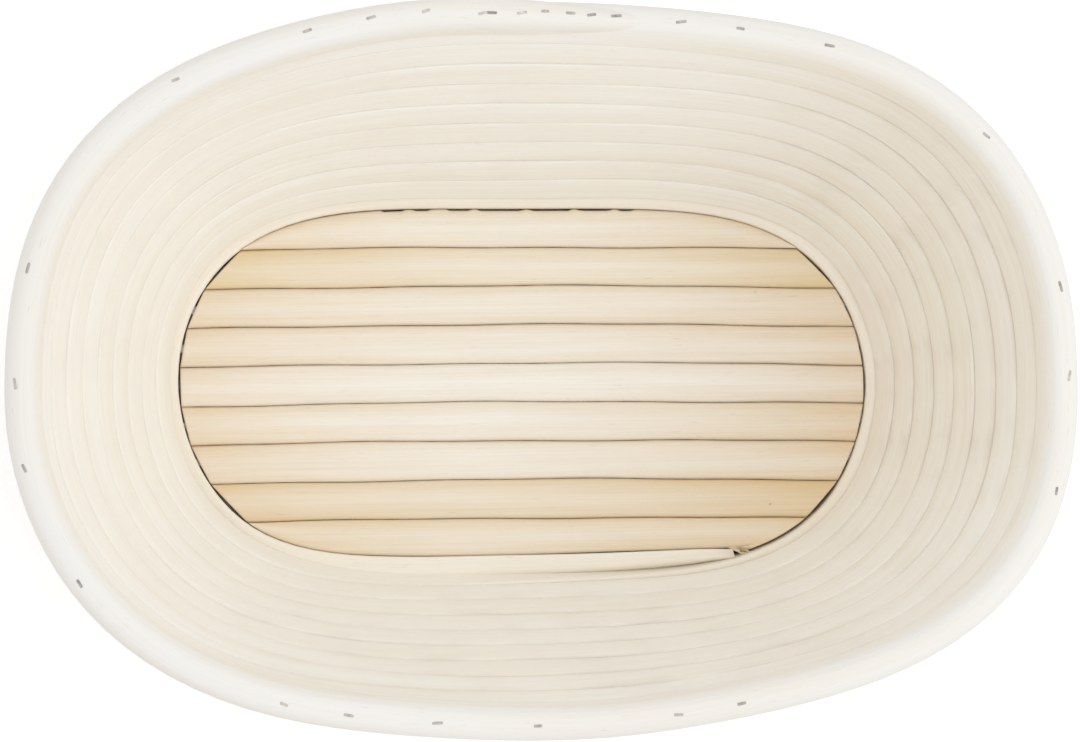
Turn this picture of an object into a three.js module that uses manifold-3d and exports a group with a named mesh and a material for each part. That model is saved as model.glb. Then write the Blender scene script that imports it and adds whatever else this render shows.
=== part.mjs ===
// Oval proofing basket: one long cane wound in a climbing spiral round a floor of split-cane slats.
// Millimetres, +Z up, +X along the oval, and the basket stands on z = 0.
import * as THREE from 'three';
import { mergeVertices } from 'three/addons/utils/BufferGeometryUtils.js';
import Module from 'manifold-3d';

// Wall cane.
const CANE_WIDTH = 7.25; // across the corners of its eight-sided section
const CANE_SIDES = 8;
const TURN_CLEARANCE = 0.45; // between one turn and the next
const TURNS = 10.625;
const STEPS_PER_TURN = 32;

// The oval that the middle of the cane follows, at the start of the coil and all round the rim.
const FOOT_LENGTH = 151;
const FOOT_WIDTH = 82;
const FOOT_SQUARENESS = 2.9; // exponent of the oval: 2 is an ellipse, more is squarer
const RIM_LENGTH = 209.3;
const RIM_WIDTH = 142.3;
const RIM_SQUARENESS = 2.5;
const RIM_BLEND = 0.25; // turns in which the growing oval settles to the rim's own, before and after

// Start and end of the cane. Seen from above the coil runs clockwise.
const START_ANGLE = -57; // degrees round the oval from +X
const START_INSET = 1.5; // of the start inside the oval, until the second turn has climbed on to it
const CLIMB_ANGLE = 90; // degrees in which the second turn climbs on to the shaved start of the first
const FOOT_FLAT = 0.5; // planed off the underside of the first turn
const SCARF_ANGLE = 34; // degrees in which the end of the cane is shaved down on to the turn below
const SCARF_TIP_WIDTH = 2.4;

// Floor of split canes, flat side down, cut to the oval inside the first turn.
const SLAT_COUNT = 9;
const SLAT_GAP = 0.4; // between neighbours
const SLAT_THICKNESS = 3.6;
const SLAT_EDGE = 1.3; // upright side of the half-round section
const FLOOR_CLEARANCE = 0.35; // between the floor's outline and the first turn

// Cross battens under the slats, which stand on the table together with the first turn.
const BATTEN_SPACING = 76; // between the middles
const BATTEN_WIDTH = 9;
const BATTEN_THICKNESS = 3;
const BATTEN_EDGE = 0.7; // eased lower edges
const SEAT_CLEARANCE = 0.2; // between battens and slats

// Headless flat steel brads: through the rim into the turn below, and through the first turn into slat ends.
const BRAD_WIDTH = 2.1;
const BRAD_THICKNESS = 0.8;
const BRAD_POINT_LENGTH = 1.6;
const BRAD_POINT_WIDTH = 0.6;
const BRAD_RECESS = 0.3; // driven below the surface of the cane
const RIM_BRAD_LENGTH = 12.6;
const RIM_BRAD_ANGLE = 20; // degrees from the top of the rim, out of the basket
const RIM_BRAD_PLACES = [
  25, 31, 38, 53.5, 86, 104, 117, 135, 162.5, 169.5, 179,
  190, 205.5, 212.5, 261.5, 279.5, 294, 318.5, 340, 350, 356.5,
]; // degrees round the oval, back from the tip of the cane
const SCARF_BRAD_COUNT = 7;
const SCARF_BRAD_SPACING = 2.6; // degrees between brads along the shaved end
const SCARF_BRAD_MARGIN = 4; // degrees from the tip to the nearest brad
const FLOOR_BRAD_REACH = 2; // slats on each side of the middle one that are held at both ends
const FLOOR_BRAD_BITE = 7; // depth in the slat
const FASTENER_CLEARANCE = 0.3;

// Staples from below, through a batten and into two neighbouring slats.
const STAPLE_CROWN = 6;
const STAPLE_WIRE = 0.8;
const STAPLE_BITE = 2; // depth of a leg in its slat
const STAPLE_RECESS = 0.3; // crown above the batten's underside
const STAPLE_STAGGER = 1.6; // to alternate sides of the batten's middle line

const CANE_COLOUR = '#ece2cf';
const SLAT_COLOUR = '#e6d5b8';
const BATTEN_COLOUR = '#dcc8a4';
const STEEL_COLOUR = '#a9a39a';

const wasm = await Module();
wasm.setup();

// A closed geometry as a solid that can be joined and cut.
function solidOf(geometry) {
  const bare = geometry.clone();
  bare.deleteAttribute('normal');
  bare.deleteAttribute('uv');
  const merged = mergeVertices(bare);
  return new wasm.Manifold(new wasm.Mesh({
    numProp: 3,
    vertProperties: Float32Array.from(merged.attributes.position.array),
    triVerts: Uint32Array.from(merged.index.array),
  }));
}

// A solid back as a geometry.
function geometryOf(solid) {
  const mesh = solid.getMesh();
  const geometry = new THREE.BufferGeometry();
  geometry.setAttribute('position', new THREE.BufferAttribute(mesh.vertProperties, 3));
  geometry.setIndex(new THREE.BufferAttribute(mesh.triVerts, 1));
  return geometry;
}

function cutAll(solid, tools) {
  return tools.reduce((left, tool) => left.subtract(tool), solid);
}

function smooth(share) {
  return THREE.MathUtils.smoothstep(share, 0, 1);
}

// Share of the way from the foot's oval to the rim's, steady up the wall and constant round the last turn.
const rimStart = TURNS - 1;
function growth(turn) {
  const past = turn - rimStart;
  if (past <= -RIM_BLEND) return turn / rimStart;
  if (past >= RIM_BLEND) return 1;
  return (turn - (past + RIM_BLEND) ** 2 / (4 * RIM_BLEND)) / rimStart;
}

// Middle of the cane in plan, and the level direction out of the basket there.
function planAt(turn) {
  const share = growth(turn);
  const halfLength = THREE.MathUtils.lerp(FOOT_LENGTH, RIM_LENGTH, share) / 2;
  const halfWidth = THREE.MathUtils.lerp(FOOT_WIDTH, RIM_WIDTH, share) / 2;
  const squareness = THREE.MathUtils.lerp(FOOT_SQUARENESS, RIM_SQUARENESS, share);
  const angle = THREE.MathUtils.degToRad(START_ANGLE - 360 * turn);
  const cos = Math.cos(angle);
  const sin = Math.sin(angle);
  const reach = (Math.abs(cos) ** squareness + Math.abs(sin) ** squareness) ** (-1 / squareness);
  const outward = new THREE.Vector3(
    Math.sign(cos) * Math.abs(cos * reach) ** (squareness - 1) / halfLength,
    Math.sign(sin) * Math.abs(sin * reach) ** (squareness - 1) / halfWidth,
    0,
  ).normalize();
  const inset = START_INSET * (1 - smooth(turn * 360 / CLIMB_ANGLE));
  const point = new THREE.Vector3(halfLength * cos * reach, halfWidth * sin * reach, 0)
    .addScaledVector(outward, -inset);
  return { point, outward };
}

// Sections along the cane. Each turn lies on the one before it, so its height is that turn's height and a
// rise that leaves the two a turn's pitch apart. The second turn climbs to that rise over the shaved start.
const caneRadius = CANE_WIDTH / 2;
const turnPitch = CANE_WIDTH + TURN_CLEARANCE;
const up = new THREE.Vector3(0, 0, 1);

function coilRings() {
  const rings = [];
  const lastIndex = Math.round(TURNS * STEPS_PER_TURN);
  for (let index = 0; index <= lastIndex; index += 1) {
    const turn = index / STEPS_PER_TURN;
    const { point, outward } = planAt(turn);
    const below = rings[index - STEPS_PER_TURN];
    const climb = smooth((turn - 1) * 360 / CLIMB_ANGLE);
    const step = below ? point.clone().sub(below.spine).dot(outward) : 0;
    const rise = below ? Math.sqrt(turnPitch ** 2 - step ** 2) * climb : 0;
    point.z = below ? below.spine.z + rise : caneRadius - FOOT_FLAT;
    rings.push({ turn, outward, below, step, rise, spine: point, middle: point.clone(), radius: caneRadius });
  }
  rings.filter((ring) => ring.below && ring.turn * 360 < 360 + CLIMB_ANGLE).forEach(shaveStart);
  rings.forEach((ring) => shaveEnd(ring, rings[lastIndex].turn));
  return rings;
}

// The start of the cane is shaved from above and outside, as far as the turn that climbs on to it needs.
function shaveStart(ring) {
  const { below, step, rise } = ring;
  const level = step + caneRadius;
  const upright = rise + caneRadius;
  const reach = caneRadius + TURN_CLEARANCE;
  const sum = level + upright + reach;
  below.radius = Math.min(caneRadius, sum - Math.sqrt(sum ** 2 - level ** 2 - upright ** 2 + reach ** 2));
  const shaved = caneRadius - below.radius;
  below.middle.addScaledVector(below.outward, -shaved).addScaledVector(up, -shaved);
}

// The end of the cane is shaved from above, so that it comes down on to the turn below.
function shaveEnd(ring, endTurn) {
  const share = 1 - (endTurn - ring.turn) * 360 / SCARF_ANGLE;
  if (share <= 0) return;
  ring.radius = THREE.MathUtils.lerp(CANE_WIDTH, SCARF_TIP_WIDTH, share) / 2;
  const apart = caneRadius + TURN_CLEARANCE + ring.radius;
  ring.middle.copy(ring.below.spine).lerp(ring.spine, apart / turnPitch);
}

// Corners of each section, turned so that flat sides face the turns above and below on the leaning wall.
const wallStep = (RIM_LENGTH - FOOT_LENGTH + RIM_WIDTH - FOOT_WIDTH) / 4 / rimStart;
const wallLean = Math.asin(wallStep / turnPitch);
function ringCorners(ring) {
  const corners = [];
  for (let side = 0; side < CANE_SIDES; side += 1) {
    const turnBy = wallLean + 2 * Math.PI * (side + 0.5) / CANE_SIDES;
    corners.push(ring.middle.clone()
      .addScaledVector(ring.outward, ring.radius * Math.sin(turnBy))
      .addScaledVector(up, ring.radius * Math.cos(turnBy)));
  }
  return corners;
}

// One unbroken tube through all the sections, closed by a flat face at each end.
function tubeGeometry(sections) {
  const positions = sections.flat().flatMap((corner) => corner.toArray());
  const index = [];
  for (let ring = 0; ring + 1 < sections.length; ring += 1) {
    for (let side = 0; side < CANE_SIDES; side += 1) {
      const next = (side + 1) % CANE_SIDES;
      const a = ring * CANE_SIDES + side;
      const b = ring * CANE_SIDES + next;
      index.push(a, a + CANE_SIDES, b, b, a + CANE_SIDES, b + CANE_SIDES);
    }
  }
  const lastRing = (sections.length - 1) * CANE_SIDES;
  for (let side = 1; side + 1 < CANE_SIDES; side += 1) {
    index.push(0, side, side + 1);
    index.push(lastRing, lastRing + side + 1, lastRing + side);
  }
  const geometry = new THREE.BufferGeometry();
  geometry.setAttribute('position', new THREE.Float32BufferAttribute(positions, 3));
  geometry.setIndex(index);
  return geometry;
}

// Least distance between corners of one turn and of the next.
function leastTurnGap(sections) {
  let least = Infinity;
  sections.forEach((section, ring) => {
    const above = sections.slice(ring + STEPS_PER_TURN - 1, ring + STEPS_PER_TURN + 2).flat();
    for (const corner of section) {
      for (const other of above) least = Math.min(least, corner.distanceTo(other));
    }
  });
  return least;
}

const rings = coilRings();
const sections = rings.map(ringCorners);
console.log(`wall_coil: least gap between turns ${leastTurnGap(sections).toFixed(2)} mm`);

// The cane at any turn: between two sections it runs straight.
function caneAt(turn) {
  const place = turn * STEPS_PER_TURN;
  const first = rings[Math.min(Math.floor(place), rings.length - 2)];
  const second = rings[rings.indexOf(first) + 1];
  const share = place - rings.indexOf(first);
  const along = second.middle.clone().sub(first.middle).normalize();
  const middle = first.middle.clone().lerp(second.middle, share);
  const radius = THREE.MathUtils.lerp(first.radius, second.radius, share);
  const outward = first.outward.clone().lerp(second.outward, share).normalize();
  const below = first.below && first.below.spine.clone().lerp(second.below.spine, share);
  return { middle, radius, along, outward, below };
}

// A brad with its top at the origin and its chisel point down the Z axis.
function bradGeometry(length) {
  const half = BRAD_WIDTH / 2;
  const point = BRAD_POINT_WIDTH / 2;
  const shoulder = BRAD_POINT_LENGTH - length;
  const outline = [[-half, 0], [-half, shoulder], [-point, -length],
    [point, -length], [half, shoulder], [half, 0]];
  const shape = new THREE.Shape(outline.map(([x, y]) => new THREE.Vector2(x, y)));
  return new THREE.ExtrudeGeometry(shape, { depth: BRAD_THICKNESS, bevelEnabled: false })
    .translate(0, 0, -BRAD_THICKNESS / 2)
    .rotateX(Math.PI / 2);
}

// A staple, crown down, with its legs up the Y axis. Grown by a clearance, it is the slot that it sits in.
const stapleLeg = BATTEN_THICKNESS - STAPLE_RECESS + SEAT_CLEARANCE + STAPLE_BITE;
function stapleGeometry(grow = 0, mouth = 0) {
  const outside = STAPLE_CROWN / 2 + grow;
  const inside = STAPLE_CROWN / 2 - STAPLE_WIRE - grow;
  const crown = STAPLE_WIRE + grow;
  const leg = stapleLeg + grow;
  const outline = [[-outside, -mouth], [outside, -mouth], [outside, leg], [inside, leg], [inside, crown],
    [-inside, crown], [-inside, leg], [-outside, leg]];
  const shape = new THREE.Shape(outline.map(([x, y]) => new THREE.Vector2(x, y)));
  const depth = STAPLE_WIRE + 2 * grow;
  return new THREE.ExtrudeGeometry(shape, { depth, bevelEnabled: false }).translate(0, 0, -depth / 2);
}

// Where a fastener goes: its own axes and its seat, as one matrix.
function seatMatrix(xAxis, zAxis, seat) {
  const yAxis = zAxis.clone().cross(xAxis).normalize();
  const squareX = yAxis.clone().cross(zAxis);
  return new THREE.Matrix4().makeBasis(squareX, yAxis, zAxis).setPosition(seat);
}

// Hole for a brad, open above it by the width of a cane so that it reaches the surface.
function bradHole(length, matrix) {
  const bottom = -length - FASTENER_CLEARANCE;
  const depth = CANE_WIDTH - bottom;
  const width = BRAD_WIDTH + 2 * FASTENER_CLEARANCE;
  const thickness = BRAD_THICKNESS + 2 * FASTENER_CLEARANCE;
  const geometry = new THREE.BoxGeometry(width, thickness, depth).translate(0, 0, bottom + depth / 2);
  return solidOf(geometry.applyMatrix4(matrix));
}

// Rim brads start on the outer side of the rim's top, and aim at the middle of the turn below.
const flatShare = Math.cos(Math.PI / CANE_SIDES); // of a section's radius, from its middle to a flat side
function rimBradMatrix(place) {
  const cane = caneAt(rings[rings.length - 1].turn - place / 360);
  const angle = THREE.MathUtils.degToRad(RIM_BRAD_ANGLE);
  const flat = cane.radius * flatShare;
  const surface = cane.middle.clone()
    .addScaledVector(cane.outward, flat * Math.sin(angle))
    .addScaledVector(up, flat * Math.cos(angle));
  const axis = surface.clone().sub(cane.below).normalize();
  return seatMatrix(cane.along, axis, surface.addScaledVector(axis, -BRAD_RECESS));
}

const scarfBradPlaces = Array.from(
  { length: SCARF_BRAD_COUNT },
  (_, index) => SCARF_BRAD_MARGIN + SCARF_BRAD_SPACING * index,
);
const rimBradMatrices = [...RIM_BRAD_PLACES, ...scarfBradPlaces].map(rimBradMatrix);

// Outline of the floor: the inside of the first turn, less a clearance.
const floorOutline = rings.slice(0, STEPS_PER_TURN).map(({ spine, outward }) => (
  spine.clone().addScaledVector(outward, -caneRadius - FLOOR_CLEARANCE)
));
const floorShape = new THREE.Shape(floorOutline.map((point) => new THREE.Vector2(point.x, point.y)));
const floorDepth = BATTEN_THICKNESS + SEAT_CLEARANCE + SLAT_THICKNESS;
const floorBlock = solidOf(new THREE.ExtrudeGeometry(floorShape, { depth: floorDepth, bevelEnabled: false }));
const floorTop = Math.max(...floorOutline.map((point) => point.y));
const floorBottom = Math.min(...floorOutline.map((point) => point.y));
const slatPitch = (floorTop - floorBottom) / SLAT_COUNT;
const slatSeat = BATTEN_THICKNESS + SEAT_CLEARANCE;

function slatMiddle(row) {
  return floorTop - slatPitch * (row - 0.5);
}

// A slat's half-round section, carried along X.
function slatGeometry(row) {
  const half = (slatPitch - SLAT_GAP) / 2;
  const shape = new THREE.Shape();
  shape.moveTo(-half, 0);
  shape.lineTo(half, 0);
  shape.lineTo(half, SLAT_EDGE);
  shape.absellipse(0, SLAT_EDGE, half, SLAT_THICKNESS - SLAT_EDGE, 0, Math.PI);
  const depth = FOOT_LENGTH;
  return new THREE.ExtrudeGeometry(shape, { depth, bevelEnabled: false, curveSegments: 8 })
    .translate(0, 0, -depth / 2)
    .applyMatrix4(new THREE.Matrix4().makeBasis(
      new THREE.Vector3(0, 1, 0),
      new THREE.Vector3(0, 0, 1),
      new THREE.Vector3(1, 0, 0),
    ))
    .translate(0, slatMiddle(row), slatSeat);
}

// A batten's flat section with eased lower edges, carried along Y.
function battenGeometry(middle) {
  const half = BATTEN_WIDTH / 2;
  const outline = [[-half, BATTEN_THICKNESS], [-half, BATTEN_EDGE], [BATTEN_EDGE - half, 0],
    [half - BATTEN_EDGE, 0], [half, BATTEN_EDGE], [half, BATTEN_THICKNESS]];
  const shape = new THREE.Shape(outline.map(([x, y]) => new THREE.Vector2(x, y)));
  const depth = FOOT_WIDTH;
  return new THREE.ExtrudeGeometry(shape, { depth, bevelEnabled: false })
    .translate(0, 0, -depth / 2)
    .rotateX(Math.PI / 2)
    .translate(middle, 0, 0);
}

// Floor brads run along a slat, through the first turn and into the slat's end.
function floorBradPlace(row, side) {
  const y = slatMiddle(row);
  const crossing = rings.findIndex((ring, index) => (
    ring.spine.x * side > 0 && (ring.spine.y - y) * (rings[index + 1].spine.y - y) <= 0
  ));
  const from = rings[crossing].spine.y;
  const share = (y - from) / (rings[crossing + 1].spine.y - from);
  const cane = caneAt((crossing + share) / STEPS_PER_TURN);
  const slant = Math.abs(cane.outward.x);
  const half = caneRadius * flatShare / slant - BRAD_RECESS;
  const axis = new THREE.Vector3(side, 0, 0);
  const seat = new THREE.Vector3(cane.middle.x + side * half, y, slatSeat + SLAT_THICKNESS / 2);
  return {
    length: half + (caneRadius + FLOOR_CLEARANCE) / slant + FLOOR_BRAD_BITE,
    matrix: seatMatrix(new THREE.Vector3(0, 1, 0), axis, seat),
  };
}

// Staples sit under every second joint between slats, and under the last one.
function staplePlaces(middle) {
  const joints = [];
  for (let joint = 1; joint < SLAT_COUNT; joint += 2) joints.push(joint);
  if (SLAT_COUNT % 2 === 1) joints.push(SLAT_COUNT - 1);
  return joints.map((joint, index) => new THREE.Matrix4().makeBasis(
    new THREE.Vector3(0, 1, 0),
    new THREE.Vector3(0, 0, 1),
    new THREE.Vector3(1, 0, 0),
  ).setPosition(
    middle + (index % 2 === 0 ? -STAPLE_STAGGER : STAPLE_STAGGER),
    floorTop - slatPitch * joint,
    STAPLE_RECESS,
  ));
}

function stapleSlot(matrix) {
  return solidOf(stapleGeometry(FASTENER_CLEARANCE, BATTEN_THICKNESS).applyMatrix4(matrix));
}

const basket = new THREE.Group();

function addPiece(name, geometry, colour, roughness, metalness = 0) {
  const material = new THREE.MeshStandardMaterial({ color: colour, roughness, metalness });
  const piece = new THREE.Mesh(geometry, material);
  piece.name = name;
  basket.add(piece);
  return piece;
}

function addFastener(name, geometry, matrix) {
  addPiece(name, geometry, STEEL_COLOUR, 0.4, 0.9).applyMatrix4(matrix);
}

const middleSlat = Math.ceil(SLAT_COUNT / 2);
const floorBrads = [];
for (let apart = 1; apart <= FLOOR_BRAD_REACH; apart += 1) {
  for (const row of [middleSlat - apart, middleSlat + apart]) {
    floorBrads.push({ name: `slat_brad_left_${row}`, ...floorBradPlace(row, -1) });
    floorBrads.push({ name: `slat_brad_right_${row}`, ...floorBradPlace(row, 1) });
  }
}
const floorBradHoles = floorBrads.map(({ length, matrix }) => bradHole(length, matrix));
const battens = [
  { name: 'left', middle: -BATTEN_SPACING / 2 },
  { name: 'right', middle: BATTEN_SPACING / 2 },
].map((batten) => ({ ...batten, places: staplePlaces(batten.middle) }));
const stapleSlots = battens.map(({ places }) => places.map(stapleSlot));

// Wall coil, planed flat underneath and pierced for its brads.
const table = solidOf(new THREE.BoxGeometry(2 * RIM_LENGTH, 2 * RIM_WIDTH, 2 * CANE_WIDTH)
  .translate(0, 0, -CANE_WIDTH));
const rimHoles = rimBradMatrices.map((matrix) => bradHole(RIM_BRAD_LENGTH, matrix));
const wall = cutAll(solidOf(tubeGeometry(sections)), [table, ...rimHoles, ...floorBradHoles]);
const wallGeometry = geometryOf(wall);
addPiece('wall_coil', wallGeometry, CANE_COLOUR, 0.7);

for (let row = 1; row <= SLAT_COUNT; row += 1) {
  const slat = solidOf(slatGeometry(row)).intersect(floorBlock);
  const pierced = cutAll(slat, [...floorBradHoles, ...stapleSlots.flat()]);
  addPiece(`slat_${row}`, geometryOf(pierced), SLAT_COLOUR, 0.65);
}

battens.forEach(({ name, middle, places }, side) => {
  const batten = solidOf(battenGeometry(middle)).intersect(floorBlock);
  addPiece(`batten_${name}`, geometryOf(cutAll(batten, stapleSlots[side])), BATTEN_COLOUR, 0.75);
  places.forEach((matrix, index) => {
    addFastener(`batten_staple_${name}_${index + 1}`, stapleGeometry(), matrix);
  });
});

floorBrads.forEach(({ name, length, matrix }) => addFastener(name, bradGeometry(length), matrix));

rimBradMatrices.forEach((matrix, index) => {
  addFastener(`rim_brad_${String(index + 1).padStart(2, '0')}`, bradGeometry(RIM_BRAD_LENGTH), matrix);
});

// The origin is under the middle of the basket's box.
wallGeometry.computeBoundingBox();
const boxMiddle = wallGeometry.boundingBox.getCenter(new THREE.Vector3());
basket.position.set(-boxMiddle.x, -boxMiddle.y, 0);

export default basket;
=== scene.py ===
import bpy
import numpy as np
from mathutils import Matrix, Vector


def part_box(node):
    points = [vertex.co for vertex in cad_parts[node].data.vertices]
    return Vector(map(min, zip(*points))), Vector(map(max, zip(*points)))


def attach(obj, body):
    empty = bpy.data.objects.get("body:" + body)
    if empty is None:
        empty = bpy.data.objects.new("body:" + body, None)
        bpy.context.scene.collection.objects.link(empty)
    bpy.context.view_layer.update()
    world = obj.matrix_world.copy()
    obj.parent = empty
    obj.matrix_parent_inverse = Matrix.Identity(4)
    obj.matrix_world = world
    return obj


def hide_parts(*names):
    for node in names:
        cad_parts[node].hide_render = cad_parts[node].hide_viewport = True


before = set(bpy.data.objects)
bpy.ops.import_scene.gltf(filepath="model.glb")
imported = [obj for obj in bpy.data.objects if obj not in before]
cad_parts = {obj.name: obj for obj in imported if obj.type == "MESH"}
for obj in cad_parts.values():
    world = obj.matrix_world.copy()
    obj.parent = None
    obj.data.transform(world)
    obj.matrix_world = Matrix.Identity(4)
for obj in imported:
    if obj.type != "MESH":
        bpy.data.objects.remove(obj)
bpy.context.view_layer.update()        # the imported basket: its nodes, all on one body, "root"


# Cross battens: two flat strips of split cane under the floor, with eased lower edges.
# The slats are stapled down on to them, and the basket stands on their flat undersides.
BATTEN_PALE = (0.72, 0.58, 0.40, 1.0)
BATTEN_TAN = (0.50, 0.35, 0.20, 1.0)
BATTEN_DARK = (0.16, 0.10, 0.055, 1.0)
BATTEN_TONE = 0.10                # tan that the battens have taken on
QUARTER_TURN = np.pi / 2
# Noise in cane: its length along the cane, its width across it, and its detail.
FIBRES = (0.030, 0.00042, 3.0)
STREAKS = (0.120, 0.0021, 2.0)
PATCHES = (0.080, 0.012, 2.0)
PORES = (0.0045, 0.00022, 1.0)
# noise that breaks up the dark along the cane: painted shade and dark spots
DARK_BREAKUP = (0.035, 0.02, 3.0)
NOISE_ROUGHNESS = 0.55
# Range of each noise, and the range of tan, dark or roughness that it gives.
STREAK_TAN = (0.35, 0.75, 0.0, 0.16)
PATCH_TAN = (0.35, 0.70, 0.0, 0.14)
FIBRE_TAN = (0.35, 0.70, -0.05, 0.11)
PORE_DARK = (0.70, 0.80, 0.0, 0.22)
DARK_BREAKUP_RANGE = (0.30, 0.70, 0.15, 1.0)
FIBRE_ROUGHNESS = (0.3, 0.7, 0.58, 0.74)
CANE_SPECULAR = 0.35
FIBRE_RELIEF = {"Strength": 0.22, "Distance": 0.00012}


def add_node(tree, kind, sockets, **settings):
    """Adds a shader node, sets its settings, and sets or links each of its named or numbered inputs."""
    node = tree.nodes.new(kind)
    for name, value in settings.items():
        setattr(node, name, value)
    for key, value in sockets.items():
        if isinstance(value, bpy.types.NodeSocket):
            tree.links.new(value, node.inputs[key])
        else:
            node.inputs[key].default_value = value
    return node


def grain_noise(tree, along, length, width, detail):
    """Noise drawn out along a cane: it changes over length metres along X and width metres across."""
    stretched = add_node(tree, "ShaderNodeMapping", {
        "Vector": along,
        "Scale": (1 / length, 1 / width, 1 / width),
    })
    noise = add_node(tree, "ShaderNodeTexNoise", {
        "Vector": stretched.outputs["Vector"],
        "Scale": 1.0,
        "Detail": detail,
        "Roughness": NOISE_ROUGHNESS,
    })
    return noise.outputs["Fac"]


def between(tree, value, low, high, least=0.0, most=1.0):
    """A value brought from the range low to high on to the range least to most, and held inside it."""
    node = add_node(tree, "ShaderNodeMapRange", {
        "Value": value, "From Min": low, "From Max": high, "To Min": least, "To Max": most,
    })
    return node.outputs["Result"]


def combine(tree, operation, first, second):
    """Two values put through one arithmetic step."""
    node = add_node(tree, "ShaderNodeMath", {0: first, 1: second}, operation=operation)
    return node.outputs[0]


def tint(tree, share, first, second):
    """A colour between two colours."""
    node = add_node(tree, "ShaderNodeMix", {0: share, 6: first, 7: second}, data_type="RGBA")
    return node.outputs[2]


def cane_shader(material, along, pale, tan, dark, toned, shade_and_spots):
    """Bare cane: long pale and tan streaks, fine fibres and short dark pores along X of the vector along.
    The value toned adds tan, partly painted shade on the wall and slats, and the last value adds dark,
    unevenly
    along the cane: painted shade in creases and joints, and dark spots. The fibres stand up as a shallow
    bump."""
    tree = material.node_tree
    shader = tree.nodes["Principled BSDF"]
    fibres = grain_noise(tree, along, *FIBRES)
    streaks = grain_noise(tree, along, *STREAKS)
    patches = grain_noise(tree, along, *PATCHES)
    pores = grain_noise(tree, along, *PORES)
    drift = combine(tree, "ADD", between(tree, streaks, *STREAK_TAN), between(tree, patches, *PATCH_TAN))
    drift = combine(tree, "ADD", drift, toned)
    drift = combine(tree, "ADD", drift, between(tree, fibres, *FIBRE_TAN))
    body = tint(tree, between(tree, drift, 0.0, 1.0), pale, tan)
    specks = between(tree, pores, *PORE_DARK)
    # Painted shade of creases and joints, and dark spots, broken up unevenly along the cane.
    breakup = grain_noise(tree, along, *DARK_BREAKUP)
    darkening = combine(tree, "MULTIPLY", between(tree, breakup, *DARK_BREAKUP_RANGE), shade_and_spots)
    darker = combine(tree, "MAXIMUM", specks, darkening)
    tree.links.new(tint(tree, darker, body, dark), shader.inputs["Base Color"])
    tree.links.new(between(tree, fibres, *FIBRE_ROUGHNESS), shader.inputs["Roughness"])
    shader.inputs["Specular IOR Level"].default_value = CANE_SPECULAR
    relief = combine(tree, "SUBTRACT", fibres, specks)
    bump = add_node(tree, "ShaderNodeBump", {"Height": relief, **FIBRE_RELIEF})
    tree.links.new(bump.outputs["Normal"], shader.inputs["Normal"])


def new_material(name):
    """An empty material with a Principled shader."""
    material = bpy.data.materials.new(name)
    material.use_nodes = True
    return material


batten_cane = new_material("batten_cane")
place = add_node(batten_cane.node_tree, "ShaderNodeTexCoord", {}).outputs["Object"]
turned = add_node(batten_cane.node_tree, "ShaderNodeMapping", {
    "Vector": place, "Rotation": (0, 0, QUARTER_TURN),
})
cane_shader(batten_cane, turned.outputs["Vector"], BATTEN_PALE, BATTEN_TAN, BATTEN_DARK, BATTEN_TONE, 0.0)
for side in ("left", "right"):
    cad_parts[f"batten_{side}"].data.materials.clear()
    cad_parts[f"batten_{side}"].data.materials.append(batten_cane)


# Floor slats: nine split canes laid side by side along the oval, flat side down and slightly crowned on top.
# Their ends are sawn to the inside of the first turn of the wall. No cane is quite straight, so the joints
# bow and close up here and there.
FOOT_HALF = (0.07542, 0.04035)    # half length and half width of the first turn, at the middle of the cane
RIM_HALF = (0.10477, 0.07127)     # the same for the rim
FOOT_POWERS = (4.2, 1.9)          # of x and y in the oval's equation: flat sides and round ends
RIM_POWERS = (2.5, 2.5)
FOOT_UNEVEN = ((1, -0.27, 0.81), (2, 0.47, -0.11), (3, 0.35, 0.30))
RIM_UNEVEN = (
    (2, 0.27, 0.36), (3, 0.10, -0.31), (4, -0.07, -0.17),
    (5, -0.30, -0.18), (6, -0.10, -0.18), (8, 0.26, 0.19),
)                                 # waves round each oval: how many, and their cosine and sine in mm
COIL_TURNS = 10.625
START_ANGLE = np.radians(-57)
CLIMB_TURNS = 0.25                # in which the second turn climbs on to the start of the first
# Places along the start of the cane, in turns, and how far it bulges inward there.
START_TURNS = np.array((0.0, 0.01, 0.03, 0.05, 0.071, 0.092, 0.113, 0.133, 0.153, 0.173, 0.205, 0.25))
START_BULGE = np.array((-2.33, -1.2, -0.16, 0.21, 0.28, 0.34, 0.52, 0.66, 0.69, 0.42, 0.0, 0.0)) / 1000
NEWTON_STEPS = 8
# Stretches of the first turn, in turns, along the four sides of the floor, and the points taken on each.
LOWER_TURNS = (0.0, 0.22)
UPPER_TURNS = (0.42, 0.78)
LEFT_TURNS = (0.10, 0.58)
RIGHT_TURNS = (0.60, 1.0)
SIDE_POINTS = 400
RIM_BLEND = 0.25                  # turns in which the growing oval settles to the rim's own
CANE_HALF_THICKNESS = 0.0035
SLAT_COUNT = 9
FIRST_JOINT = 0.0305              # across the oval, from its middle to the joint between the first two slats
SLAT_PITCH = 0.00834
LAST_EDGE = -0.03585              # lower edge of the last slat, along the start of the wall's cane
LAST_EDGE_SLOPE = 0.0178
CORNER_EDGE = -0.0364             # its corner beyond the cane's cut end
CORNER_SHARE = 0.15               # of the slat's width that reaches into the corner
START_CLEARANCE = 0.0017          # between the cane's cut end and that corner
TOP_GAP = 0.00004                 # between the first slat and the wall, and in its open stretches
TOP_GAP_OPEN = 0.00034
TOP_GAP_SLOPE = 0.0006            # length in which a stretch opens
TOP_OPENINGS = np.array((
    (-29.5, -24.1), (-22.8, -18.5), (-15.2, -10.0), (-8.8, 1.4), (2.5, 11.7), (13.1, 20.4), (21.6, 25.2),
)) / 1000
JOINT_TILT = -0.0070              # slope of the joints in plan
JOINT_BOW = -0.14                 # of the joints, per metre
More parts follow.
